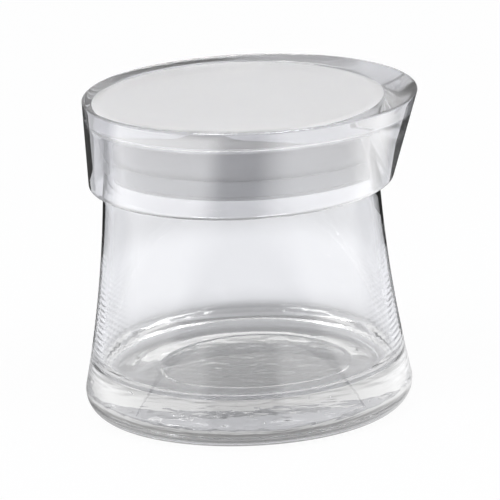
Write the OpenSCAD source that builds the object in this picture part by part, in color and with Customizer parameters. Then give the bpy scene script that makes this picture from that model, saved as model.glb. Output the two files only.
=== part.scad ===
/* [Dish] */
// Greatest width of the dish, low on its heavy base
base_d = 64; // [60:0.5:72]
// Radius that rounds the base into the flat underneath
base_r = 4.3; // [3:0.1:6]
// Height of the dish, from the table to the top of its rim
dish_h = 58.2; // [50:0.1:70]
// Inside diameter of the mouth that the plug goes into
mouth_d = 50.6; // [46:0.1:53]
// Thickness of the glass at the mouth
neck_wall = 1.35; // [1.2:0.05:2]
// Length of neck below the rim whose outside is straight
neck_h = 2.4; // [1:0.1:6]
// Length of straight mouth below the end of the plug
mouth_extra = 1.3; // [0.5:0.1:4]
// How far the well flares out past the mouth on each side, on its way down to the floor
well_flare = 3.8; // [2:0.1:4.2]
// Thickness of the glass floor
floor_t = 8.5; // [5:0.1:12]
// Radius inside, where the floor turns up into the wall
floor_r = 2.3; // [1:0.1:4]
// Diameter of the shallow dimple in the floor
dimple_d = 37.2; // [24:0.2:42]
// Depth of that dimple at its middle
dimple_h = 0.2; // [0.1:0.05:0.6]
// Diameter of the hollow under the base
punt_d = 52; // [40:0.5:54]
// Depth of that hollow at its middle
punt_h = 0.4; // [0.2:0.1:1.5]
// Rounding of both edges of the rim
rim_r = 0.5; // [0.2:0.05:0.55]

/* [Lid cap] */
// Thickness of the clear top
plate_t = 3.75; // [2:0.05:6]
// Length of the skirt below the clear top
skirt_h = 13.6; // [10:0.1:20]
// Thickness of the skirt at its lower edge
skirt_wall = 1.1; // [0.8:0.05:2]
// Gap between the neck and the skirt around it
skirt_gap = 1.85; // [1:0.05:3]
// How far the top stands out past the skirt's lower edge
top_flare = 0.65; // [0.3:0.05:3]
// How far the lifting lip stands out past the skirt's lower edge
lip_reach = 5.5; // [2:0.1:9]
// Rounding of the edges of the cap
cap_edge_r = 0.5; // [0.2:0.05:0.6]

/* [Lid plug] */
// Thickness of the plug's top and of its flange on the rim
flange_t = 0.8; // [0.6:0.1:2]
// Gap around the flange inside the skirt
flange_fit = 0.05; // [0.02:0.01:0.1]
// Length of the plug below the rim
plug_h = 9.9; // [8:0.1:14]
// Gap between the plug's wall and the mouth
plug_gap = 0.3; // [0.2:0.05:0.5]
// Thickness of the plug's wall behind the seal
plug_wall = 1.2; // [0.9:0.1:2]
// Radius inside the plug, below its top
plug_r = 1; // [0.4:0.1:2]

/* [Seal ring] */
// Height of the seal ring
seal_h = 3.2; // [2:0.1:5]
// Thickness of the seal ring
seal_t = 1.1; // [0.8:0.05:1.6]
// Rounding of the seal's outer edges
seal_r = 0.4; // [0.2:0.05:0.7]
// Height of the plug's lip under the seal
seal_lip = 0.7; // [0.4:0.1:1.5]
// Gap between the seal, the mouth and its groove
seal_fit = 0.05; // [0.02:0.01:0.1]

/* [Hidden] */
$fn = 96;
// Overshoot of a cut past the face that it opens
cut = 1;

// Dish
base_rad = base_d / 2;
mouth_rad = mouth_d / 2;
neck_rad = mouth_rad + neck_wall;
waist_z = dish_h - neck_h;
// The waist is one arc, upright where it meets the neck and tangent to the rounded base
base_cx = base_rad - base_r;
waist_dx = neck_rad - base_cx;
waist_dz = waist_z - base_r;
waist_r = (waist_dx ^ 2 + waist_dz ^ 2 - base_r ^ 2) / (2 * (base_r - waist_dx));
waist_cx = neck_rad + waist_r;
belly_rad = base_cx + base_r * (waist_cx - base_cx) / (waist_r + base_r);
// The well's wall is one arc, upright where it meets the mouth and tangent to the rounded corner of the floor
mouth_z = dish_h - plug_h - mouth_extra;
well_rad = mouth_rad + well_flare;
well_arc_r = arc_radius(mouth_z - floor_t, well_flare);
well_cx = mouth_rad + well_arc_r;
corner_z = floor_t + floor_r;
corner_reach = well_arc_r + floor_r;
// The corner's arc is set out a hair past tangent, so that it crosses the wall's arc cleanly
corner_lap = 0.01;
corner_cx = well_cx - sqrt(corner_reach ^ 2 - (mouth_z - corner_z) ^ 2) + corner_lap;
corner_top_z = corner_z + floor_r * (mouth_z - corner_z) / corner_reach;
// The hollow under the base stays inside the ring that the dish stands on
punt_rad = min(punt_d / 2, base_cx - 1);
rim_round = min(rim_r, 0.45 * neck_wall);

// Lid
flange_z = dish_h;
plate_z = flange_z + flange_t;
top_z = plate_z + plate_t;
skirt_z = plate_z - skirt_h;
bore_rad = neck_rad + skirt_gap;
skirt_rad = bore_rad + skirt_wall;
top_half_l = skirt_rad + (lip_reach + top_flare) / 2;
top_half_w = skirt_rad + top_flare;
top_shift = (lip_reach - top_flare) / 2;
cap_h = top_z - skirt_z;
cap_sides = 96;
cap_edge_steps = 3;

// Plug and seal
flange_rad = bore_rad - flange_fit;
plug_rad = mouth_rad - plug_gap;
plug_z = flange_z - plug_h;
seal_z = plug_z + seal_lip;
seal_rad = mouth_rad - seal_fit;
seal_in_rad = seal_rad - seal_t;
groove_rad = seal_in_rad - seal_fit;
groove_h = seal_h + 2 * seal_fit;
plug_in_rad = groove_rad - plug_wall;

// Radius of the arc that rises by a given height over half its chord
function arc_radius(half_chord, rise) = (half_chord ^ 2 + rise ^ 2) / (2 * rise);

// One ring of the cap's outside, t of the way up from the skirt's edge and drawn in by inset
function cap_ring(t, inset) = [
    for (i = [0:cap_sides - 1])
        let (a = i * 360 / cap_sides)
        let (rx = skirt_rad + (top_half_l - skirt_rad) * t - inset)
        let (ry = skirt_rad + (top_half_w - skirt_rad) * t - inset)
        [top_shift * t + rx * cos(a), ry * sin(a), skirt_z + cap_h * t]
];

// Inset and height of the k-th step around a rounded edge of radius r
function edge_inset(k, r) = r * (1 - sin(90 * k / cap_edge_steps));
function edge_height(k, r) = r * (1 - cos(90 * k / cap_edge_steps));

// What is left of a square corner outside its rounding, with the corner at the origin
module corner_waste(r) {
    difference() {
        translate([-r, -r]) square(r + cut);
        translate([-r, -r]) circle(r);
    }
}

// Solid between rings that have the same number of points, from the lowest to the highest
module loft(rings) {
    n = len(rings[0]);
    last = len(rings) - 1;
    points = [for (ring = rings) each ring];
    sides = [
        for (k = [0:last - 1], i = [0:n - 1])
            let (j = (i + 1) % n)
            each [
                [k * n + i, (k + 1) * n + i, k * n + j],
                [k * n + j, (k + 1) * n + i, (k + 1) * n + j]
            ]
    ];
    floor_face = [for (i = [0:n - 1]) i];
    roof_face = [for (i = [n - 1:-1:0]) last * n + i];
    polyhedron(points, concat([floor_face], sides, [roof_face]));
}

// Half section of the dish's outside: rounded base, waist and straight neck
module dish_outside() {
    difference() {
        union() {
            square([base_cx, base_r]);
            translate([base_cx, base_r]) circle(base_r);
            translate([0, base_r]) square([belly_rad, dish_h - base_r]);
        }
        translate([waist_cx, waist_z]) circle(waist_r, $fn = 720);
        translate([neck_rad, waist_z]) square([base_rad, neck_h + cut]);
        translate([neck_rad, dish_h]) corner_waste(rim_round);
    }
}

// Half section of the well: straight mouth, flaring wall, rounded corner and dimpled floor
module dish_well() {
    translate([0, mouth_z]) square([mouth_rad, dish_h - mouth_z + cut]);
    difference() {
        translate([0, floor_t]) square([well_rad, mouth_z - floor_t]);
        translate([well_cx, mouth_z]) circle(well_arc_r, $fn = 720);
        difference() {
            translate([corner_cx, floor_t - cut]) square([well_rad, corner_top_z - floor_t + cut]);
            translate([corner_cx, corner_z]) circle(floor_r);
        }
    }
    dimple_arc_r = arc_radius(dimple_d / 2, dimple_h);
    intersection() {
        translate([0, floor_t - dimple_h]) square([dimple_d / 2, dimple_h + cut]);
        translate([0, floor_t - dimple_h + dimple_arc_r]) circle(dimple_arc_r, $fn = 720);
    }
    translate([mouth_rad, dish_h]) mirror([1, 0]) corner_waste(rim_round);
}

// Half section of the shallow hollow under the base
module dish_punt() {
    punt_arc_r = arc_radius(punt_rad, punt_h);
    intersection() {
        translate([0, -cut]) square([punt_rad, punt_h + cut]);
        translate([0, punt_h - punt_arc_r]) circle(punt_arc_r, $fn = 720);
    }
}

module glass_dish() {
    color("#dfe6e8", 0.35)
        rotate_extrude()
            difference() {
                dish_outside();
                dish_well();
                dish_punt();
            }
}

module lid_cap() {
    e = cap_edge_r / cap_h;
    rings = [
        for (k = [0:cap_edge_steps])
            cap_ring(edge_height(k, e), edge_inset(k, cap_edge_r)),
        for (k = [cap_edge_steps:-1:0])
            cap_ring(1 - edge_height(k, e), edge_inset(k, cap_edge_r))
    ];
    color("#eef1f3", 0.35)
        difference() {
            loft(rings);
            translate([0, 0, skirt_z - cut]) cylinder(r = bore_rad, h = skirt_h + cut);
        }
}

module lid_plug() {
    color("#e9eaec")
        rotate_extrude()
            difference() {
                union() {
                    translate([0, flange_z]) square([flange_rad, flange_t]);
                    translate([0, plug_z]) square([plug_rad, plug_h]);
                }
                translate([groove_rad, seal_z - seal_fit]) square([seal_t, groove_h]);
                difference() {
                    translate([0, plug_z - cut]) square([plug_in_rad, plug_h + cut]);
                    translate([plug_in_rad, flange_z]) corner_waste(plug_r);
                }
            }
}

module seal_ring() {
    color("#cfd2d6")
        rotate_extrude()
            difference() {
                translate([seal_in_rad, seal_z]) square([seal_t, seal_h]);
                translate([seal_rad, seal_z + seal_h]) corner_waste(seal_r);
                translate([seal_rad, seal_z]) mirror([0, 1]) corner_waste(seal_r);
            }
}

glass_dish();
lid_cap();
lid_plug();
seal_ring();
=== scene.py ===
import math
import bmesh
import bpy
from mathutils import Matrix, Vector


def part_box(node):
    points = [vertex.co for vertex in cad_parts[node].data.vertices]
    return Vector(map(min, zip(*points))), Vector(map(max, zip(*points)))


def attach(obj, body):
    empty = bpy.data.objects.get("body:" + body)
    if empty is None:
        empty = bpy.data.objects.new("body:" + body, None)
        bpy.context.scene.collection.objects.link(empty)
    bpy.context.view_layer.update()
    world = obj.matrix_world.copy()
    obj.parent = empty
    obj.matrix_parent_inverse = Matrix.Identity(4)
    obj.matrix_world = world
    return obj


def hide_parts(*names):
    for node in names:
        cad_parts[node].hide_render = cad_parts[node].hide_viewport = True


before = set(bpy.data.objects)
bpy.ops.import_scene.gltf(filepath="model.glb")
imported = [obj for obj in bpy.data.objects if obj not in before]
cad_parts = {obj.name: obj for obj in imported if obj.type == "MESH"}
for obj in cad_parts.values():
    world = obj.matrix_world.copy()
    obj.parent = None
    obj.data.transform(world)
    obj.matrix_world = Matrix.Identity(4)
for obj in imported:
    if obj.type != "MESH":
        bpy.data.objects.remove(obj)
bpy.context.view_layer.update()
scene = bpy.context.scene
scene.view_settings.view_transform = "Standard"
scene.cycles.max_bounces = 32  # clear walls inside clear walls need long light paths
scene.cycles.diffuse_bounces = 8
scene.cycles.glossy_bounces = 24
scene.cycles.transmission_bounces = 24
mm = 0.001  # the pieces are written in millimetres, the studio in metres
mergeGap = 0.002 * mm  # points closer than this become one
leastStep = 0.01  # mm between neighbours in a half section
hair = 0.01  # mm, to tell one height from another
plainWhite = (1, 1, 1, 1)


def linearColour(hexValue):
    parts = [int(hexValue[i:i + 2], 16) / 255 for i in (1, 3, 5)]
    return [c / 12.92 if c <= 0.04045 else ((c + 0.055) / 1.055) ** 2.4 for c in parts] + [1]


def addNode(tree, kind, sockets=None, **settings):
    node = tree.nodes.new(kind)
    for key, value in settings.items():
        setattr(node, key, value)
    for key, value in (sockets or {}).items():
        if isinstance(value, bpy.types.NodeSocket):
            tree.links.new(value, node.inputs[key])
        else:
            node.inputs[key].default_value = value
    return node


def boxOf(node):
    low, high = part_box(node)
    return [v / mm for v in low], [v / mm for v in high]


dishLow, dishHigh = boxOf("glass_dish")
capLow, capHigh = boxOf("lid_cap")
plugLow, plugHigh = boxOf("lid_plug")
sealLow, sealHigh = boxOf("seal_ring")


def newFinish(name):
    finish = bpy.data.materials.new(name)
    finish.use_nodes = True
    finish.node_tree.nodes.clear()
    return finish, finish.node_tree


# Pressed soda glass, fire polished: clear and colourless, with slow waves in its skin
def pressedGlass():
    look = {"tint": "#FFFFFF", "ior": 1.52, "polish": 0.0, "waveSize": 6.0, "waveHeight": 0.004, "waveDetail": 1.0}
    finish, tree = newFinish("pressed_soda_glass")
    place = addNode(tree, "ShaderNodeTexCoord").outputs["Object"]
    waves = addNode(tree, "ShaderNodeTexNoise", {
        "Vector": place, "Scale": 1 / (look["waveSize"] * mm), "Detail": look["waveDetail"]}).outputs[0]
    skin = addNode(tree, "ShaderNodeBump", {
        "Strength": 1.0, "Distance": look["waveHeight"] * mm, "Height": waves}).outputs[0]
    shader = addNode(tree, "ShaderNodeBsdfPrincipled", {
        "Base Color": linearColour(look["tint"]), "IOR": look["ior"], "Roughness": look["polish"],
        "Transmission Weight": 1.0, "Normal": skin}).outputs[0]
    addNode(tree, "ShaderNodeOutputMaterial", {"Surface": shader})
    return finish


# Clear acrylic, injection moulded: water clear, a little smoky through its body, with faint flow marks; its sides carry
# a stronger gloss coat and a slightly darker tint, which is painted shade
def mouldedAcrylic():
    look = {"top": "#FFFFFF", "side": "#F1F1F3", "ior": 1.49, "polish": 0.0, "coatIor": 1.7, "flowSize": 9.0,
            "flowHeight": 0.006, "flowDetail": 1.0, "body": "#CBCBCE", "depth": 8.0,
            "sideDrop": 0.5, "sideRadius": 28.45, "sideBlend": 0.1}
    finish, tree = newFinish("clear_moulded_acrylic")
    place = addNode(tree, "ShaderNodeTexCoord").outputs["Object"]
    height = addNode(tree, "ShaderNodeSeparateXYZ", {0: place}).outputs["Z"]
    below = addNode(tree, "ShaderNodeMapRange", {  # the sides start under the top's rounded edge
        "Value": height, "From Min": capHigh[2] * mm, "From Max": (capHigh[2] - look["sideDrop"]) * mm}).outputs[0]
    flat = addNode(tree, "ShaderNodeVectorMath", {0: place, 1: (1, 1, 0)}, operation="MULTIPLY").outputs[0]
    radius = addNode(tree, "ShaderNodeVectorMath", {0: flat}, operation="LENGTH").outputs["Value"]
    beyond = addNode(tree, "ShaderNodeMapRange", {  # and don't take in the plate's underside
        "Value": radius, "From Min": (look["sideRadius"] - look["sideBlend"]) * mm,
        "From Max": look["sideRadius"] * mm}).outputs[0]
    aside = addNode(tree, "ShaderNodeMath", {0: below, 1: beyond}, operation="MULTIPLY").outputs[0]
    # the sides' slightly darker tint is painted shade, the top stays clear
    tone = addNode(tree, "ShaderNodeMix", {
        "Factor": aside, 6: linearColour(look["top"]), 7: linearColour(look["side"])}, data_type="RGBA").outputs[2]
    flow = addNode(tree, "ShaderNodeTexNoise", {
        "Vector": place, "Scale": 1 / (look["flowSize"] * mm), "Detail": look["flowDetail"]}).outputs[0]
    skin = addNode(tree, "ShaderNodeBump", {
        "Strength": 1.0, "Distance": look["flowHeight"] * mm, "Height": flow}).outputs[0]
    shader = addNode(tree, "ShaderNodeBsdfPrincipled", {
        "Base Color": tone, "IOR": look["ior"], "Roughness": look["polish"], "Transmission Weight": 1.0,
        "Coat Weight": aside, "Coat IOR": look["coatIor"], "Coat Roughness": look["polish"],
        "Normal": skin}).outputs[0]
    body = addNode(tree, "ShaderNodeVolumeAbsorption", {
        "Color": linearColour(look["body"]), "Density": look["depth"]}).outputs[0]
    addNode(tree, "ShaderNodeOutputMaterial", {"Surface": shader, "Volume": body})
    return finish


# White polyethylene, moulded: a satin top, and a shiny wall from the polished core
def whitePolyethylene():
    look = {"pale": "#F6F6F7", "dull": "#F0F0F1", "ior": 1.51, "satin": 0.45, "cloudSize": 12.0, "cloudDetail": 2.0,
            "grainSize": 0.6, "grainDetail": 2.0, "grainHeight": 0.01, "grainStrength": 0.4,
            "shineIor": 1.7, "shine": 0.1, "wallStart": 0.1, "wallWhole": 0.3}
    finish, tree = newFinish("white_polyethylene")
    place = addNode(tree, "ShaderNodeTexCoord").outputs["Object"]
    cloud = addNode(tree, "ShaderNodeTexNoise", {
        "Vector": place, "Scale": 1 / (look["cloudSize"] * mm), "Detail": look["cloudDetail"]}).outputs[0]
    tone = addNode(tree, "ShaderNodeMix", {
        "Factor": cloud, 6: linearColour(look["pale"]), 7: linearColour(look["dull"])}, data_type="RGBA").outputs[2]
    grain = addNode(tree, "ShaderNodeTexNoise", {
        "Vector": place, "Scale": 1 / (look["grainSize"] * mm), "Detail": look["grainDetail"]}).outputs[0]
    skin = addNode(tree, "ShaderNodeBump", {
        "Strength": look["grainStrength"], "Distance": look["grainHeight"] * mm, "Height": grain}).outputs[0]
    height = addNode(tree, "ShaderNodeSeparateXYZ", {0: place}).outputs["Z"]
    wall = addNode(tree, "ShaderNodeMapRange", {  # all that lies below the flat top
        "Value": height, "From Min": (plugHigh[2] - look["wallStart"]) * mm,
        "From Max": (plugHigh[2] - look["wallWhole"]) * mm}).outputs[0]
    shader = addNode(tree, "ShaderNodeBsdfPrincipled", {
        "Base Color": tone, "IOR": look["ior"], "Roughness": look["satin"], "Coat Weight": wall,
        "Coat IOR": look["shineIor"], "Coat Roughness": look["shine"], "Normal": skin}).outputs[0]
    addNode(tree, "ShaderNodeOutputMaterial", {"Surface": shader})
    return finish


# Silicone rubber, moulded: milky, with a soft satin skin under a faint shine
def milkySilicone():
    look = {"pale": "#F7F8F9", "dull": "#F1F2F4", "ior": 1.41, "satin": 0.4, "cloudSize": 4.0, "cloudDetail": 2.0,
            "grainHeight": 0.01, "grainStrength": 0.4, "shineIor": 1.6, "shine": 0.15}
    finish, tree = newFinish("milky_silicone")
    place = addNode(tree, "ShaderNodeTexCoord").outputs["Object"]
    cloud = addNode(tree, "ShaderNodeTexNoise", {
        "Vector": place, "Scale": 1 / (look["cloudSize"] * mm), "Detail": look["cloudDetail"]}).outputs[0]
    tone = addNode(tree, "ShaderNodeMix", {
        "Factor": cloud, 6: linearColour(look["pale"]), 7: linearColour(look["dull"])}, data_type="RGBA").outputs[2]
    skin = addNode(tree, "ShaderNodeBump", {
        "Strength": look["grainStrength"], "Distance": look["grainHeight"] * mm, "Height": cloud}).outputs[0]
    shader = addNode(tree, "ShaderNodeBsdfPrincipled", {
        "Base Color": tone, "IOR": look["ior"], "Roughness": look["satin"], "Coat Weight": 1.0,
        "Coat IOR": look["shineIor"], "Coat Roughness": look["shine"], "Normal": skin}).outputs[0]
    addNode(tree, "ShaderNodeOutputMaterial", {"Surface": shader})
    return finish


finishes = {"dish": pressedGlass(), "cap": mouldedAcrylic(), "plug": whitePolyethylene(), "seal": milkySilicone()}
print("finishes made,", len(finishes))


def newTree(name, inputs, output):
    tree = bpy.data.node_groups.new(name, "GeometryNodeTree")
    for label, kind in inputs:
        tree.interface.new_socket(label, in_out="INPUT", socket_type="NodeSocket" + kind)
    tree.interface.new_socket(output, in_out="OUTPUT", socket_type="NodeSocketGeometry")
    return tree, addNode(tree, "NodeGroupInput").outputs


# Spins a half section into a piece. The flare pushes it to one side, for the cap's lip and the dish's floor,
# and rings and wrinkles move the glass along its normals
def makeSpinTree():
    marks = {"ringDetail": 1.0, "ringDetailScale": 0.3, "wrinkleDetail": 2.0, "wrinkleRoughness": 0.5,
             "seamPower": 12.0}
    tree, given = newTree("spinProfile", [
        ("Profile", "Geometry"), ("Segments", "Int"), ("Flare stretch", "Vector"), ("Flare shift", "Vector"),
        ("Ring height", "Float"), ("Ring scale", "Float"), ("Ring waver", "Float"), ("Wrinkle height", "Float"),
        ("Wrinkle scale", "Float"), ("Seed", "Float"), ("Finish", "Material")], "Piece")
    profile = given["Profile"]
    # a grid with a column for each turn and a row for each point of the half section
    count = addNode(tree, "GeometryNodeAttributeDomainSize", {"Geometry": profile}).outputs["Point Count"]
    columns = addNode(tree, "FunctionNodeIntegerMath", {0: given["Segments"], 1: 1}, operation="ADD").outputs[0]
    sheet = addNode(tree, "GeometryNodeMeshGrid", {"Vertices X": columns, "Vertices Y": count}).outputs[0]
    index = addNode(tree, "GeometryNodeInputIndex").outputs[0]
    row = addNode(tree, "FunctionNodeIntegerMath", {0: index, 1: count}, operation="MODULO").outputs[0]
    column = addNode(tree, "FunctionNodeIntegerMath", {0: index, 1: count}, operation="DIVIDE_FLOOR").outputs[0]
    place = addNode(tree, "GeometryNodeInputPosition").outputs[0]
    start = addNode(tree, "GeometryNodeSampleIndex", {
        "Geometry": profile, "Value": place, "Index": row}, data_type="FLOAT_VECTOR").outputs[0]
    shares = {}
    for name in ("flare", "ring", "wrinkle"):
        own = addNode(tree, "GeometryNodeInputNamedAttribute", {"Name": name}, data_type="FLOAT").outputs[0]
        shares[name] = addNode(tree, "GeometryNodeSampleIndex", {
            "Geometry": profile, "Value": own, "Index": row}, data_type="FLOAT").outputs[0]
    part = addNode(tree, "ShaderNodeMath", {0: column, 1: given["Segments"]}, operation="DIVIDE").outputs[0]
    turn = addNode(tree, "ShaderNodeMath", {0: part, 1: 2 * math.pi}, operation="MULTIPLY").outputs[0]
    spun = addNode(tree, "ShaderNodeVectorRotate", {
        "Vector": start, "Angle": turn}, rotation_type="Z_AXIS").outputs[0]
    spoke = addNode(tree, "ShaderNodeVectorRotate", {
        "Vector": (1, 0, 0), "Angle": turn}, rotation_type="Z_AXIS").outputs[0]
    stretch = addNode(tree, "ShaderNodeVectorMath", {
        0: spoke, 1: given["Flare stretch"], 2: given["Flare shift"]}, operation="MULTIPLY_ADD").outputs[0]
    flared = addNode(tree, "ShaderNodeVectorMath", {0: stretch, "Scale": shares["flare"]}, operation="SCALE").outputs[0]
    target = addNode(tree, "ShaderNodeVectorMath", {0: spun, 1: flared}, operation="ADD").outputs[0]
    shape = addNode(tree, "GeometryNodeSetPosition", {"Geometry": sheet, "Position": target}).outputs[0]
    for name in ("ring", "wrinkle"):
        shape = addNode(tree, "GeometryNodeStoreNamedAttribute", {
            "Geometry": shape, "Name": name, "Value": shares[name]}, data_type="FLOAT", domain="POINT").outputs[0]
    shape = addNode(tree, "GeometryNodeMergeByDistance", {"Geometry": shape, "Distance": mergeGap}).outputs[0]
    rings = addNode(tree, "ShaderNodeTexWave", {
        "Vector": place, "Scale": given["Ring scale"], "Distortion": given["Ring waver"],
        "Detail": marks["ringDetail"], "Detail Scale": marks["ringDetailScale"]},
        wave_type="BANDS", bands_direction="Z").outputs[1]
    dents = addNode(tree, "ShaderNodeTexNoise", {
        "Vector": place, "W": given["Seed"], "Scale": given["Wrinkle scale"],
        "Detail": marks["wrinkleDetail"], "Roughness": marks["wrinkleRoughness"]}, noise_dimensions="4D").outputs[0]
    swings = []
    for name, pattern, height in (("ring", rings, "Ring height"), ("wrinkle", dents, "Wrinkle height")):
        own = addNode(tree, "GeometryNodeInputNamedAttribute", {"Name": name}, data_type="FLOAT").outputs[0]
        level = addNode(tree, "ShaderNodeMath", {0: pattern, 1: given[height]}, operation="MULTIPLY").outputs[0]
        swings.append(addNode(tree, "ShaderNodeMath", {0: level, 1: own}, operation="MULTIPLY").outputs[0])
    # the rings are deepest along the mould's two seams, at -X and +X
    way = addNode(tree, "ShaderNodeVectorMath", {0: place, 1: (1, 1, 0)}, operation="MULTIPLY").outputs[0]
    for step in ("NORMALIZE", "ABSOLUTE"):
        way = addNode(tree, "ShaderNodeVectorMath", {0: way}, operation=step).outputs[0]
    near = addNode(tree, "ShaderNodeSeparateXYZ", {0: way}).outputs["X"]
    seam = addNode(tree, "ShaderNodeMath", {0: near, 1: marks["seamPower"]}, operation="POWER").outputs[0]
    swing = addNode(tree, "ShaderNodeMath", {0: swings[0], 1: seam, 2: swings[1]}, operation="MULTIPLY_ADD").outputs[0]
    inward = addNode(tree, "ShaderNodeMath", {0: swing, 1: -1.0}, operation="MULTIPLY").outputs[0]
    normal = addNode(tree, "GeometryNodeInputNormal").outputs[0]
    push = addNode(tree, "ShaderNodeVectorMath", {0: normal, "Scale": inward}, operation="SCALE").outputs[0]
    shape = addNode(tree, "GeometryNodeSetPosition", {"Geometry": shape, "Offset": push}).outputs[0]
    shape = addNode(tree, "GeometryNodeSetShadeSmooth", {"Geometry": shape}).outputs[0]
    shape = addNode(tree, "GeometryNodeRealizeInstances", {"Geometry": shape}).outputs[0]
    shape = addNode(tree, "GeometryNodeSetMaterial", {"Geometry": shape, "Material": given["Finish"]}).outputs[0]
    addNode(tree, "NodeGroupOutput", {0: shape})
    return tree


# Scatters small round bubbles in a flat drum of glass, with their faces turned to the air inside them
def makeSeedTree():
    ballRounds = 3  # subdivisions of a bubble
    tree, given = newTree("scatterSeeds", [
        ("Host", "Geometry"), ("Count", "Int"), ("Reach", "Float"), ("Low", "Float"), ("High", "Float"),
        ("Least", "Float"), ("Most", "Float"), ("Seed", "Int"), ("Finish", "Material")], "Seeds")
    chance = {}
    for name, low, high in (("out", 0.0, 1.0), ("turn", 0.0, 2 * math.pi), ("height", given["Low"], given["High"]),
                            ("size", given["Least"], given["Most"])):
        own = addNode(tree, "FunctionNodeIntegerMath", {0: given["Seed"], 1: len(chance)}, operation="ADD").outputs[0]
        chance[name] = addNode(tree, "FunctionNodeRandomValue", {
            2: low, 3: high, "Seed": own}, data_type="FLOAT").outputs[1]
    root = addNode(tree, "ShaderNodeMath", {0: chance["out"]}, operation="SQRT").outputs[0]
    radius = addNode(tree, "ShaderNodeMath", {0: root, 1: given["Reach"]}, operation="MULTIPLY").outputs[0]
    start = addNode(tree, "ShaderNodeCombineXYZ", {"X": radius, "Z": chance["height"]}).outputs[0]
    spot = addNode(tree, "ShaderNodeVectorRotate", {
        "Vector": start, "Angle": chance["turn"]}, rotation_type="Z_AXIS").outputs[0]
    points = addNode(tree, "GeometryNodePoints", {"Count": given["Count"], "Position": spot}).outputs[0]
    ball = addNode(tree, "GeometryNodeMeshIcoSphere", {"Radius": 1.0, "Subdivisions": ballRounds}).outputs[0]
    ball = addNode(tree, "GeometryNodeFlipFaces", {"Mesh": ball}).outputs[0]
    ball = addNode(tree, "GeometryNodeSetShadeSmooth", {"Geometry": ball}).outputs[0]
    shape = addNode(tree, "GeometryNodeInstanceOnPoints", {
        "Points": points, "Instance": ball, "Scale": chance["size"]}).outputs[0]
    shape = addNode(tree, "GeometryNodeRealizeInstances", {"Geometry": shape}).outputs[0]
    shape = addNode(tree, "GeometryNodeSetMaterial", {"Geometry": shape, "Material": given["Finish"]}).outputs[0]
    addNode(tree, "NodeGroupOutput", {0: shape})
    return tree


spinTree = makeSpinTree()
seedTree = makeSeedTree()
print("trees made")


def runTree(piece, tree, values):
    modifier = piece.modifiers.new(tree.name, "NODES")
    modifier.node_group = tree
    for item in tree.interface.items_tree:
        if item.name in values:
            modifier[item.identifier] = values[item.name]
    plain = bpy.data.meshes.new_from_object(piece.evaluated_get(bpy.context.evaluated_depsgraph_get()))
    piece.modifiers.clear()
    piece.data = plain


def closeMesh(piece):
    work = bmesh.new()
    work.from_mesh(piece.data)
    bmesh.ops.remove_doubles(work, verts=work.verts, dist=mergeGap)
    bmesh.ops.recalc_face_normals(work, faces=work.faces)
    for face in work.faces:
        face.smooth = True
    work.to_mesh(piece.data)
    work.free()


# profile: rows of radius and height, and where a piece has them its shares of the flare, the rings and the wrinkles
def spinPiece(name, profile, finish, segments, **values):
    mesh = bpy.data.meshes.new(name + "Profile")
    mesh.from_pydata([(p[0] * mm, 0, p[1] * mm) for p in profile],
                     [(i, i + 1) for i in range(len(profile) - 1)], [])
    for column, key in enumerate(("flare", "ring", "wrinkle"), start=2):
        attribute = mesh.attributes.new(key, "FLOAT", "POINT")
        attribute.data.foreach_set("value", [p[column] if len(p) > column else 0.0 for p in profile])
    piece = bpy.data.objects.new(name, mesh)
    scene.collection.objects.link(piece)
    settings = {"Segments": segments, "Flare stretch": (0.0, 0.0, 0.0), "Flare shift": (0.0, 0.0, 0.0),
                "Ring height": 0.0, "Ring scale": 1.0, "Ring waver": 0.0, "Wrinkle height": 0.0,
                "Wrinkle scale": 1.0, "Seed": 0.0, "Finish": finish}
    settings.update(values)
    runTree(piece, spinTree, settings)
    closeMesh(piece)
    print(name, "spun,", len(piece.data.polygons), "faces")
    return piece


def arc(centre, radius, start, end, step):
    sweep = math.radians(end - start)
    steps = max(2, math.ceil(abs(sweep) * radius / step))
    turns = [math.radians(start) + sweep * i / steps for i in range(steps + 1)]
    return [(centre[0] + radius * math.cos(t), centre[1] + radius * math.sin(t)) for t in turns]


def straight(start, end, step):
    steps = max(1, math.ceil(math.dist(start, end) / step))
    return [(start[0] + (end[0] - start[0]) * i / steps, start[1] + (end[1] - start[1]) * i / steps)
            for i in range(steps + 1)]


def joined(*runs):
    points = []
    for run in runs:
        for point in run:
            if not points or math.dist(point, points[-1]) > leastStep:
                points.append(point)
    return points


def arcRadius(halfChord, rise):
    return (halfChord ** 2 + rise ** 2) / (2 * rise)


def clamped(value):
    return max(0.0, min(1.0, value))


# The dish: a waisted outside, a flaring well, and the marks that pressing leaves in the glass
dishShape = {
    "baseRound": 4.3, "neckWall": 1.35, "neckHeight": 2.4, "mouthRadius": 25.3, "mouthDepth": 11.2, "rimRound": 0.5,
    "wellFlare": 3.8, "floor": 8.5, "floorRound": 3.3, "floorSlope": 4.0, "puntRadius": 26.0, "puntDepth": 0.4,
    "markRadius": 23.7, "markWidth": 0.7, "markDepth": 0.06, "padRadius": 18.6, "padStep": 0.08, "padShift": 1.4,
    "ringLow": 6.0, "ringTop": 32.0, "ringRise": 4.0, "ringFade": 10.0, "ringHeight": 0.05, "ringPitch": 1.1,
    "ringWaver": 3.0, "wrinkleHeight": 0.14, "wrinkleSize": 2.4, "wrinkleLeast": 0.3, "wrinkleRise": 0.15,
    "floorWrinkle": 0.2, "floorFade": 2.0, "floorBand": 0.5, "seed": 3.0, "segments": 192,
    "coarse": 1.4, "coarseGap": 0.5, "middling": 0.6, "footStep": 0.35, "cornerStep": 0.2, "fine": 0.16, "rimStep": 0.1,
}


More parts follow.
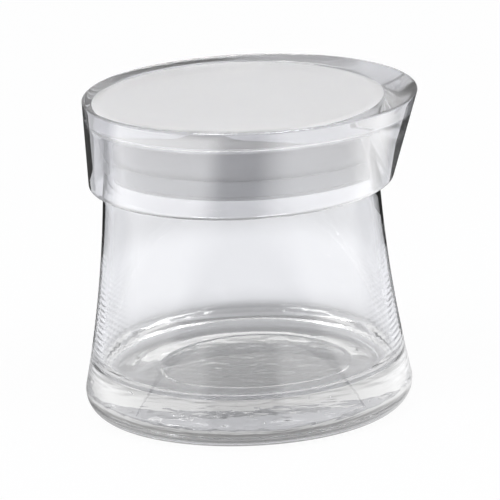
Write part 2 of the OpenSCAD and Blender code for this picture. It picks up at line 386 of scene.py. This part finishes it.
def dishProfile(d):
    baseRadius, height = min(dishHigh[0], -dishLow[0]), dishHigh[2]
    neckRadius = d["mouthRadius"] + d["neckWall"]
    # the waist is one arc, upright at the neck and tangent to the rounded base
    waistZ = height - d["neckHeight"]
    baseX = baseRadius - d["baseRound"]
    dx, dz = neckRadius - baseX, waistZ - d["baseRound"]
    waistRadius = (dx ** 2 + dz ** 2 - d["baseRound"] ** 2) / (2 * (d["baseRound"] - dx))
    waist = (neckRadius + waistRadius, waistZ)
    lean = math.degrees(math.asin(dz / (waistRadius + d["baseRound"])))
    # the well's wall is another, upright at the mouth and tangent to the floor's corner
    mouthZ = height - d["mouthDepth"]
    wellRadius = arcRadius(mouthZ - d["floor"], d["wellFlare"])
    well = (d["mouthRadius"] + wellRadius, mouthZ)
    cornerZ = d["floor"] + d["floorRound"]
    reach = wellRadius + d["floorRound"]
    spread = math.degrees(math.asin((mouthZ - cornerZ) / reach))
    cornerX = well[0] - reach * math.cos(math.radians(spread))
    puntArc = arcRadius(d["puntRadius"], d["puntDepth"])
    puntTurn = math.degrees(math.asin(d["puntRadius"] / puntArc))
    slope = math.radians(d["floorSlope"])
    floorX = cornerX + d["floorRound"] * math.sin(slope)
    floorZ = cornerZ - d["floorRound"] * math.cos(slope)

    def onFloor(r):  # the floor rises gently from its pad to the corner
        return (r, floorZ - (floorX - r) * math.tan(slope))

    markIn, markOut = onFloor(d["markRadius"] - d["markWidth"] / 2), onFloor(d["markRadius"] + d["markWidth"] / 2)
    markMiddle = (d["markRadius"], onFloor(d["markRadius"])[1] - d["markDepth"])
    padEdge = onFloor(d["padRadius"])
    padZ = padEdge[1] + d["padStep"]
    rim, top = d["rimRound"], d["ringTop"]
    outline = joined(  # from the middle underneath, up the outside, over the rim, and down to the middle of the floor
        arc((0, d["puntDepth"] - puntArc), puntArc, 90, 90 - puntTurn, d["middling"]),
        straight((d["puntRadius"], 0), (baseX, 0), d["middling"]),
        arc((baseX, d["baseRound"]), d["baseRound"], -90, lean, d["footStep"]),
        [p for p in arc(waist, waistRadius, 180 + lean, 180, d["fine"]) if p[1] < top],
        [p for p in arc(waist, waistRadius, 180 + lean, 180, d["coarse"]) if p[1] > top + d["coarseGap"]],
        straight((neckRadius, waistZ), (neckRadius, height - rim), d["coarse"]),
        arc((neckRadius - rim, height - rim), rim, 0, 90, d["rimStep"]),
        arc((d["mouthRadius"] + rim, height - rim), rim, 90, 180, d["rimStep"]),
        straight((d["mouthRadius"], height - rim), (d["mouthRadius"], mouthZ), d["coarse"]),
        arc(well, wellRadius, 180, 180 + spread, d["middling"]),
        arc((cornerX, cornerZ), d["floorRound"], spread, d["floorSlope"] - 90, d["cornerStep"]),
        straight((floorX, floorZ), markOut, d["middling"]),
        [markMiddle],
        straight(markIn, padEdge, d["middling"]),
        straight((padEdge[0] - 2 * d["padStep"], padZ), (0, padZ), d["middling"]),
    )
    outline[0] = (0.0, outline[0][1])
    outline[-1] = (0.0, outline[-1][1])
    widest = max(range(len(outline)), key=lambda i: outline[i][0])
    rimIndex = max(range(len(outline)), key=lambda i: outline[i][1])

    def ringShare(i, z):  # the wall's outside, fading out towards the foot and the neck
        if not widest < i < rimIndex:
            return 0.0
        return clamped(min((z - d["ringLow"]) / d["ringRise"], (top - z) / d["ringFade"]))

    def wrinkleShare(i, r, z):  # the underneath, which met the cold mould, and a little of the floor
        if i < widest and z < d["puntDepth"] + hair:
            return d["wrinkleLeast"] + (1 - d["wrinkleLeast"]) * min(1.0, z / d["wrinkleRise"])
        if i > rimIndex and z < d["floor"] + d["floorBand"]:
            return d["floorWrinkle"] * clamped((floorX - r) / d["floorFade"])
        return 0.0

    def shiftShare(i, r):  # the pad sits a little off centre in the floor
        return clamped((floorX - r) / (floorX - markOut[0])) if i > rimIndex else 0.0

    return [(r, z, shiftShare(i, r), ringShare(i, z), wrinkleShare(i, r, z)) for i, (r, z) in enumerate(outline)]


dishPiece = spinPiece("dish_glass", dishProfile(dishShape), finishes["dish"], dishShape["segments"], **{
    "Ring height": dishShape["ringHeight"] * mm, "Ring waver": dishShape["ringWaver"],
    "Ring scale": math.pi / (10 * dishShape["ringPitch"] * mm),  # a wave texture has 10 / pi bands to the unit
    "Wrinkle height": dishShape["wrinkleHeight"] * mm, "Wrinkle scale": 1 / (dishShape["wrinkleSize"] * mm),
    "Seed": dishShape["seed"], "Flare shift": (dishShape["padShift"] * mm, 0.0, 0.0)})

# Seeds: a few bubbles caught in the thick base
seedShape = {"count": 16, "reach": 24.0, "low": 2.0, "high": 7.0, "least": 0.1, "most": 0.28, "seed": 5}


def addSeeds(piece, finish, s):
    host = bpy.data.objects.new("seeds", bpy.data.meshes.new("seeds"))
    scene.collection.objects.link(host)
    runTree(host, seedTree, {
        "Count": s["count"], "Reach": s["reach"] * mm, "Low": s["low"] * mm, "High": s["high"] * mm,
        "Least": s["least"] * mm, "Most": s["most"] * mm, "Seed": s["seed"], "Finish": finish})
    work = bmesh.new()
    work.from_mesh(piece.data)
    work.from_mesh(host.data)
    work.to_mesh(piece.data)
    work.free()
    bpy.data.objects.remove(host)
    print("seeds set,", len(piece.data.polygons), "faces")


addSeeds(dishPiece, finishes["dish"], seedShape)

# The lid's clear cap: a thick plate and a thin skirt, flared out to the finger lip
capShape = {"boreRadius": 28.5, "skirtRadius": 29.6, "edgeRound": 0.5, "roofRound": 0.25, "segments": 256,
            "plateStep": 2.0, "skirtStep": 1.0, "edgeStep": 0.08}


def capProfile(c):
    top, bottom, roof = capHigh[2], capLow[2], plugHigh[2]
    outer, bore, edge, inner = c["skirtRadius"], c["boreRadius"], c["edgeRound"], c["roofRound"]
    outside = joined(
        straight((0, top), (outer - edge, top), c["plateStep"]),
        arc((outer - edge, top - edge), edge, 90, 0, c["edgeStep"]),
        straight((outer, top - edge), (outer, bottom + edge), c["skirtStep"]),
        arc((outer - edge, bottom + edge), edge, 0, -90, c["edgeStep"]),
    )
    inside = joined(
        straight((outer - edge, bottom), (bore, bottom), c["skirtStep"])[1:],
        straight((bore, bottom), (bore, roof - inner), c["skirtStep"]),
        arc((bore - inner, roof - inner), inner, 0, 90, c["edgeStep"]),
        straight((bore - inner, roof), (0, roof), c["plateStep"]),
    )

    def flareShare(r, z):  # none at the skirt's edge and on the axis, all of it round the top
        return (z - bottom) / (top - bottom) * min(1.0, r / (outer - edge))

    return [(r, z, flareShare(r, z)) for r, z in outside] + inside


capPiece = spinPiece("cap_acrylic", capProfile(capShape), finishes["cap"], capShape["segments"], **{
    "Flare stretch": (((capHigh[0] - capLow[0]) / 2 - capShape["skirtRadius"]) * mm,
                      (capHigh[1] - capShape["skirtRadius"]) * mm, 0.0),
    "Flare shift": ((capHigh[0] + capLow[0]) / 2 * mm, 0.0, 0.0)})

# The white plug: a flange between the cap and the glass rim, and a hollow wall down into the mouth
plugShape = {"plugRadius": 25.0, "insideRadius": 22.9, "insideRound": 1.0, "grooveRadius": 24.1, "airGap": 0.04,
             "grooveGap": 0.05, "edgeRound": 0.15, "segments": 192, "step": 2.0, "edgeStep": 0.06, "roofStep": 0.2}


def plugProfile(p):
    rim = dishHigh[2] + p["airGap"]  # the flange rides on the glass rim, a hair clear of it
    top, bottom = plugHigh[2] - p["airGap"], plugLow[2]  # its top has a film of air over it, under the clear plate
    flange, wall, inside, groove = plugHigh[0], p["plugRadius"], p["insideRadius"], p["grooveRadius"]
    grooveLow, grooveHigh = sealLow[2] - p["grooveGap"], sealHigh[2] + p["grooveGap"]
    ceiling, e, bend = dishHigh[2], p["edgeRound"], p["insideRound"]
    return joined(
        straight((0, top), (flange - e, top), p["step"]),
        arc((flange - e, top - e), e, 90, 0, p["edgeStep"]),
        arc((flange - e, rim + e), e, 0, -90, p["edgeStep"]),
        straight((flange - e, rim), (wall, rim), p["step"]),
        straight((wall, rim), (wall, grooveHigh), p["step"]),
        straight((wall, grooveHigh), (groove, grooveHigh), p["step"]),
        straight((groove, grooveHigh), (groove, grooveLow), p["step"]),
        straight((groove, grooveLow), (wall, grooveLow), p["step"]),
        arc((wall - e, bottom + e), e, 0, -90, p["edgeStep"]),
        arc((inside + e, bottom + e), e, -90, -180, p["edgeStep"]),
        straight((inside, bottom + e), (inside, ceiling - bend), p["step"]),
        arc((inside - bend, ceiling - bend), bend, 0, 90, p["roofStep"]),
        straight((inside - bend, ceiling), (0, ceiling), p["step"]),
    )


plugPiece = spinPiece("plug_polyethylene", plugProfile(plugShape), finishes["plug"], plugShape["segments"])

# The seal ring in the plug's groove
sealShape = {"insideRadius": 24.15, "edgeRound": 0.4, "segments": 192, "step": 0.4, "edgeStep": 0.1, "backStep": 0.8}


def sealProfile(s):
    outer, inside, e = sealHigh[0], s["insideRadius"], s["edgeRound"]
    low, high = sealLow[2], sealHigh[2]
    outline = joined(
        straight((inside, low), (outer - e, low), s["step"]),
        arc((outer - e, low + e), e, -90, 0, s["edgeStep"]),
        arc((outer - e, high - e), e, 0, 90, s["edgeStep"]),
        straight((outer - e, high), (inside, high), s["step"]),
        straight((inside, high), (inside, low), s["backStep"]),
    )
    return outline + outline[:1]


sealPiece = spinPiece("seal_silicone", sealProfile(sealShape), finishes["seal"], sealShape["segments"])

for piece, body, node, slot in ((dishPiece, "dish", "glass_dish", "clear_glass"),
                                (capPiece, "lid", "lid_cap", "clear_acrylic"),
                                (plugPiece, "lid", "lid_plug", "white_polyethylene"),
                                (sealPiece, "seal", "seal_ring", "silicone_seal")):
    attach(piece, body)
    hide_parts(node)
print("pieces ride on their bodies")

# The studio: a white table, a sky that is dimmer in front and behind, and two soft boxes. Sheets, shades and cards
# light nothing: the sheets are painted reflections that only gloss shows, the grey shades are painted shadow that only
# clear walls show, and the dark cards are painted dark reflections that darken edges
studio = {"table": "#C4C5C9", "tableHalf": 4.0, "tableTop": -0.0001, "tableGlow": 0.96, "glassGlow": 0.1,
          "skyFront": 0.28, "skyBack": 0.36, "skySide": 0.72, "skyTop": 0.95}

softBoxes = {"aside": 0.28, "front": -0.40, "height": 0.875, "size": 0.34, "brightness": 12.6, "aim": (0, 0, 0.03)}


def around(radius, reach, height, step=4):  # points on an arc that is open behind, reach degrees to each side
    turns = [math.radians(a) for a in range(-reach, reach + 1, step)]
    return [(radius * math.sin(t), -radius * math.cos(t), height) for t in turns]


sheets = {  # painted reflections, seen only in gloss: dim up to inner metres from its middle, bright past outer, and faded out along one axis and behind
    "painted_table_reflection": {"edge": [(-0.8, 0.30, -0.00005), (0.8, 0.30, -0.00005)], "reach": (0.0, -0.60, 0.0),
                    "middle": -0.014, "inner": 0.025, "outer": 0.095, "dim": 0.4, "bright": 2.8,
                    "axis": "Y", "whole": 0.18, "gone": 0.30, "behind": 0.075},
    "painted_room_reflection": {"edge": around(1.0, 172, 0.002), "reach": (0.0, 0.0, 0.25), "middle": -0.066, "inner": 0.34,
                   "outer": 0.53, "dim": 0.2, "bright": 2.2, "axis": "Z", "whole": 0.10, "gone": 0.24,
                   "behind": 0.4},
}

paintedShades = {  # painted shadow of the lid and the dish on the table behind: upright grey films round the back that only clear walls show; none of their depth at foot and top, all of it at whole
    "near_painted_shade": {"radius": 0.0345, "reach": 88, "foot": 0.0030, "whole": 0.0055, "top": 0.0090, "depth": 0.34},
    "far_painted_shade": {"radius": 0.0390, "reach": 88, "foot": 0.0026, "whole": 0.0045, "top": 0.0125, "depth": 0.36},
    "lid_painted_shade": {"radius": 0.0390, "reach": 88, "foot": 0.0210, "whole": 0.0275, "top": 0.0450, "depth": 0.24},
}

cards = {  # painted dark reflections: low corner, high corner in metres, brightness, whether clear walls show it or only their gloss does
    "dark_reflection_left": ((-0.060, 0.04, 0.034), (-0.034, 0.04, 0.058), 0.05, True),
    "dark_reflection_right": ((0.040, 0.04, 0.026), (0.066, 0.04, 0.056), 0.06, True),
    "edge_dark_reflection_left": ((-0.046, 0.04, 0.002), (-0.027, 0.04, 0.055), 0.05, False),
    "edge_dark_reflection_right": ((0.027, 0.04, 0.002), (0.046, 0.04, 0.055), 0.05, False),
}


def stageMesh(name, corners, faces, finish, hidden=()):
    mesh = bpy.data.meshes.new(name)
    mesh.from_pydata(corners, [], faces)
    mesh.materials.append(finish)
    item = bpy.data.objects.new(name, mesh)
    scene.collection.objects.link(item)
    for ray in hidden:
        setattr(item, "visible_" + ray, False)


def stripFaces(count):  # quads between two rows of count points
    return [(i, i + 1, count + i + 1, count + i) for i in range(count - 1)]


# How far a ray sees the plain white of the backdrop: the camera's almost wholly, gloss and clear walls a little
def whiteShare(tree, cameraGlow):
    path = addNode(tree, "ShaderNodeLightPath").outputs
    inGlass = addNode(tree, "ShaderNodeMath", {
        0: path["Is Transmission Ray"], 1: path["Is Glossy Ray"]}, operation="MAXIMUM").outputs[0]
    little = addNode(tree, "ShaderNodeMath", {0: inGlass, 1: studio["glassGlow"]}, operation="MULTIPLY").outputs[0]
    return addNode(tree, "ShaderNodeMath", {
        0: path["Is Camera Ray"], 1: cameraGlow, 2: little}, operation="MULTIPLY_ADD").outputs[0]


def makeTable():
    finish, tree = newFinish("white_table")
    share = whiteShare(tree, studio["tableGlow"])
    paint = addNode(tree, "ShaderNodeBsdfDiffuse", {"Color": linearColour(studio["table"])}).outputs[0]
    glow = addNode(tree, "ShaderNodeEmission", {"Color": plainWhite, "Strength": 1.0}).outputs[0]
    mixed = addNode(tree, "ShaderNodeMixShader", {0: share, 1: paint, 2: glow}).outputs[0]
    addNode(tree, "ShaderNodeOutputMaterial", {"Surface": mixed})
    half, top = studio["tableHalf"], studio["tableTop"]
    corners = [(-half, -half, top), (half, -half, top), (half, half, top), (-half, half, top)]
    stageMesh("table", corners, [(0, 1, 2, 3)], finish)


def makeSky():
    world = bpy.data.worlds.new("studio_sky")
    scene.world = world
    world.use_nodes = True
    tree = world.node_tree
    tree.nodes.clear()
    way = addNode(tree, "ShaderNodeTexCoord").outputs["Generated"]
    part = addNode(tree, "ShaderNodeSeparateXYZ", {0: way}).outputs
    level = addNode(tree, "ShaderNodeMapRange", {
        "Value": part["Y"], "From Min": -1.0, "From Max": 1.0,
        "To Min": studio["skyFront"], "To Max": studio["skyBack"]}).outputs[0]
    aside = addNode(tree, "ShaderNodeMath", {0: part["X"]}, operation="ABSOLUTE").outputs[0]
    level = addNode(tree, "ShaderNodeMapRange", {
        "Value": aside, "To Min": level, "To Max": studio["skySide"]}, interpolation_type="SMOOTHSTEP").outputs[0]
    level = addNode(tree, "ShaderNodeMapRange", {
        "Value": part["Z"], "To Min": level, "To Max": studio["skyTop"]}).outputs[0]
    room = addNode(tree, "ShaderNodeBackground", {"Color": plainWhite, "Strength": level}).outputs[0]
    white = addNode(tree, "ShaderNodeBackground", {"Color": plainWhite, "Strength": 1.0}).outputs[0]
    mixed = addNode(tree, "ShaderNodeMixShader", {0: whiteShare(tree, 1.0), 1: room, 2: white}).outputs[0]
    addNode(tree, "ShaderNodeOutputWorld", {"Surface": mixed})


def makeSoftBox(name, side, s):
    lamp = bpy.data.lights.new(name, "AREA")
    lamp.size = s["size"]
    lamp.energy = s["brightness"] * math.pi * s["size"] ** 2
    holder = bpy.data.objects.new(name, lamp)
    scene.collection.objects.link(holder)
    holder.location = (side * s["aside"], s["front"], s["height"])
    aim = Vector(s["aim"]) - holder.location
    holder.rotation_euler = aim.to_track_quat("-Z", "Y").to_euler()


# A painted reflection: a glowing sheet that lights nothing and that only gloss shows
def makeSheet(name, s):
    finish, tree = newFinish(name)
    place = addNode(tree, "ShaderNodeTexCoord").outputs["Object"]
    part = addNode(tree, "ShaderNodeSeparateXYZ", {0: place}).outputs
    aside = addNode(tree, "ShaderNodeMath", {0: part["X"], 1: s["middle"]}, operation="SUBTRACT").outputs[0]
    aside = addNode(tree, "ShaderNodeMath", {0: aside}, operation="ABSOLUTE").outputs[0]
    along = addNode(tree, "ShaderNodeMath", {0: part[s["axis"]]}, operation="ABSOLUTE").outputs[0]
    level, whole, ahead = [
        addNode(tree, "ShaderNodeMapRange", {
            "Value": value, "From Min": start, "From Max": end, "To Min": low, "To Max": high},
            interpolation_type="SMOOTHSTEP").outputs[0]
        for value, start, end, low, high in ((aside, s["inner"], s["outer"], s["dim"], s["bright"]),
                                             (along, s["gone"], s["whole"], 0.0, 1.0),
                                             (part["Y"], s["behind"], 0.0, 0.0, 1.0))]
    there = addNode(tree, "ShaderNodeMath", {0: whole, 1: ahead}, operation="MULTIPLY").outputs[0]
    glow = addNode(tree, "ShaderNodeEmission", {"Color": plainWhite, "Strength": level}).outputs[0]
    clear = addNode(tree, "ShaderNodeBsdfTransparent").outputs[0]
    mixed = addNode(tree, "ShaderNodeMixShader", {0: there, 1: clear, 2: glow}).outputs[0]
    addNode(tree, "ShaderNodeOutputMaterial", {"Surface": mixed})
    far = [[p + q for p, q in zip(point, s["reach"])] for point in s["edge"]]
    stageMesh(name, s["edge"] + far, stripFaces(len(far)), finish, ("camera", "diffuse", "transmission", "shadow"))


# Painted shadow: a grey film that darkens what clear walls show behind it, and blocks no light
def makePaintedShade(name, s):
    finish, tree = newFinish(name)
    place = addNode(tree, "ShaderNodeTexCoord").outputs["Object"]
    part = addNode(tree, "ShaderNodeSeparateXYZ", {0: place}).outputs
    down, up, back = [
        addNode(tree, "ShaderNodeMapRange", {
            "Value": part[axis], "From Min": none, "From Max": whole}, interpolation_type="SMOOTHSTEP").outputs[0]
        for axis, none, whole in (("Z", s["top"], s["whole"]), ("Z", s["foot"], s["whole"]),
                                  ("Y", 0.0, s["radius"] / 2))]
    share = addNode(tree, "ShaderNodeMath", {0: down, 1: up}, operation="MULTIPLY").outputs[0]
    share = addNode(tree, "ShaderNodeMath", {0: share, 1: back}, operation="MULTIPLY").outputs[0]
    left = addNode(tree, "ShaderNodeMapRange", {"Value": share, "To Min": 1.0, "To Max": 1 - s["depth"]}).outputs[0]
    shadeFilm = addNode(tree, "ShaderNodeBsdfTransparent", {"Color": left}).outputs[0]
    addNode(tree, "ShaderNodeOutputMaterial", {"Surface": shadeFilm})
    low, high = [around(-s["radius"], s["reach"], height) for height in (s["foot"], s["top"])]
    stageMesh(name, low + high, stripFaces(len(low)), finish, ("camera", "diffuse", "glossy", "shadow"))


# A painted dark reflection: a near-black card that blocks no light and that only gloss, and maybe clear walls, show
def makeCard(name, low, high, bright, inGlass):
    finish, tree = newFinish(name)
    glow = addNode(tree, "ShaderNodeEmission", {"Color": plainWhite, "Strength": bright}).outputs[0]
    addNode(tree, "ShaderNodeOutputMaterial", {"Surface": glow})
    corners = [low, (high[0], high[1], low[2]), high, (low[0], low[1], high[2])]
    hidden = ["camera", "diffuse", "shadow"] + ([] if inGlass else ["transmission"])
    stageMesh(name, corners, [(0, 1, 2, 3)], finish, hidden)


makeTable()
makeSky()
makeSoftBox("soft_box_left", -1, softBoxes)
makeSoftBox("soft_box_right", 1, softBoxes)
for name, values in sheets.items():
    makeSheet(name, values)
for name, values in paintedShades.items():
    makePaintedShade(name, values)
for name, values in cards.items():
    makeCard(name, *values)
print("studio set")

# The camera, fitted to the outlines in the photo: metres, degrees, and pixels from the middle of the frame to the foot
view = {"distance": 1.2903, "elevation": 17.449, "focus": 6576.7, "baseRight": -6.10, "baseDown": 151.90,
        "roll": -2.343, "pixels": 500, "sensor": 36.0}


def makeCamera():
    lift = math.radians(view["elevation"])
    eye = Vector((0, -math.cos(lift), math.sin(lift))) * view["distance"]
    ahead = -eye.normalized()
    right = Vector((1, 0, 0))
    up = right.cross(ahead)
    aim = ahead - right * (view["baseRight"] / view["focus"]) + up * (view["baseDown"] / view["focus"])
    data = bpy.data.cameras.new("camera")
    data.sensor_width = view["sensor"]
    data.lens = view["focus"] / view["pixels"] * view["sensor"]
    camera = bpy.data.objects.new("camera", data)
    scene.collection.objects.link(camera)
    turn = aim.to_track_quat("-Z", "Y").to_matrix().to_4x4() @ Matrix.Rotation(math.radians(view["roll"]), 4, "Z")
    camera.matrix_world = Matrix.Translation(eye) @ turn
    scene.camera = camera


makeCamera()
print("camera set")
